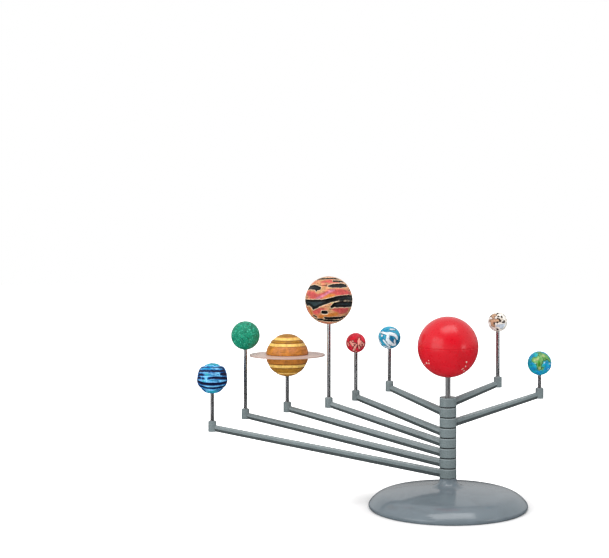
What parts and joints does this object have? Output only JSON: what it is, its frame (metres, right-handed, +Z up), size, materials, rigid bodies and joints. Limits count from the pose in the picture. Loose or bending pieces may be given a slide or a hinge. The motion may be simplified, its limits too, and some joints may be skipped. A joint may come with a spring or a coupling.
{
  "type": "orrery",
  "caption": "Table-top solar system model: painted planet balls on steel rods, carried by sloping arms that swivel about a centre post on a round domed base, with the sun on top.",
  "frame": {"origin": "middle of the base in the plane that it stands on, on the axis of the centre post", "axes": "+Z up along the centre post; +X to the right and +Y away from a viewer in front, with most arms at rest reaching towards -X"},
  "size_m": [0.2974, 0.1478, 0.1877],
  "materials": {
    "grey_plastic": "moulded blue-grey plastic, semi-gloss",
    "post_grey": "satin grey metal",
    "rod_steel": "bright drawn steel",
    "sun_red": "glossy red paint on plastic",
    "ring_pale": "thin pale pinkish plastic, slightly translucent",
    "mercury_paint": "white with tan and brown patches",
    "venus_paint": "sky blue with white swirls",
    "earth_paint": "blue with green land",
    "mars_paint": "red with pale patches",
    "jupiter_paint": "salmon and cream bands with black brush strokes",
    "saturn_paint": "ochre and yellow bands",
    "uranus_paint": "green, finely speckled",
    "neptune_paint": "blue with navy and pale lines"
  },
  "bodies": {
    "stand": {"base_dome": "grey_plastic", "centre_post": "post_grey", "sun_upper": "sun_red", "sun_lower": "sun_red"},
    "mercury": {"mercury_arm": "grey_plastic", "mercury_rod": "rod_steel", "mercury_upper": "mercury_paint", "mercury_lower": "mercury_paint"},
    "venus": {"venus_arm": "grey_plastic", "venus_rod": "rod_steel", "venus_upper": "venus_paint", "venus_lower": "venus_paint"},
    "earth": {"earth_arm": "grey_plastic", "earth_rod": "rod_steel", "earth_upper": "earth_paint", "earth_lower": "earth_paint"},
    "mars": {"mars_arm": "grey_plastic", "mars_rod": "rod_steel", "mars_upper": "mars_paint", "mars_lower": "mars_paint"},
    "jupiter": {"jupiter_arm": "grey_plastic", "jupiter_rod": "rod_steel", "jupiter_upper": "jupiter_paint", "jupiter_lower": "jupiter_paint"},
    "saturn": {"saturn_arm": "grey_plastic", "saturn_rod": "rod_steel", "saturn_upper": "saturn_paint", "saturn_lower": "saturn_paint", "saturn_ring": "ring_pale"},
    "uranus": {"uranus_arm": "grey_plastic", "uranus_rod": "rod_steel", "uranus_upper": "uranus_paint", "uranus_lower": "uranus_paint"},
    "neptune": {"neptune_arm": "grey_plastic", "neptune_rod": "rod_steel", "neptune_upper": "neptune_paint", "neptune_lower": "neptune_paint"}
  },
  "joints": [
    {"name": "mercury_orbit", "type": "hinge", "parent": "stand", "child": "mercury", "pos_m": [0, 0, 0], "axis": [0, 0, 1], "continuous": true},
    {"name": "venus_orbit", "type": "hinge", "parent": "stand", "child": "venus", "pos_m": [0, 0, 0], "axis": [0, 0, 1], "continuous": true},
    {"name": "earth_orbit", "type": "hinge", "parent": "stand", "child": "earth", "pos_m": [0, 0, 0], "axis": [0, 0, 1], "continuous": true},
    {"name": "mars_orbit", "type": "hinge", "parent": "stand", "child": "mars", "pos_m": [0, 0, 0], "axis": [0, 0, 1], "continuous": true},
    {"name": "jupiter_orbit", "type": "hinge", "parent": "stand", "child": "jupiter", "pos_m": [0, 0, 0], "axis": [0, 0, 1], "continuous": true},
    {"name": "saturn_orbit", "type": "hinge", "parent": "stand", "child": "saturn", "pos_m": [0, 0, 0], "axis": [0, 0, 1], "continuous": true},
    {"name": "uranus_orbit", "type": "hinge", "parent": "stand", "child": "uranus", "pos_m": [0, 0, 0], "axis": [0, 0, 1], "continuous": true},
    {"name": "neptune_orbit", "type": "hinge", "parent": "stand", "child": "neptune", "pos_m": [0, 0, 0], "axis": [0, 0, 1], "continuous": true}
  ]
}
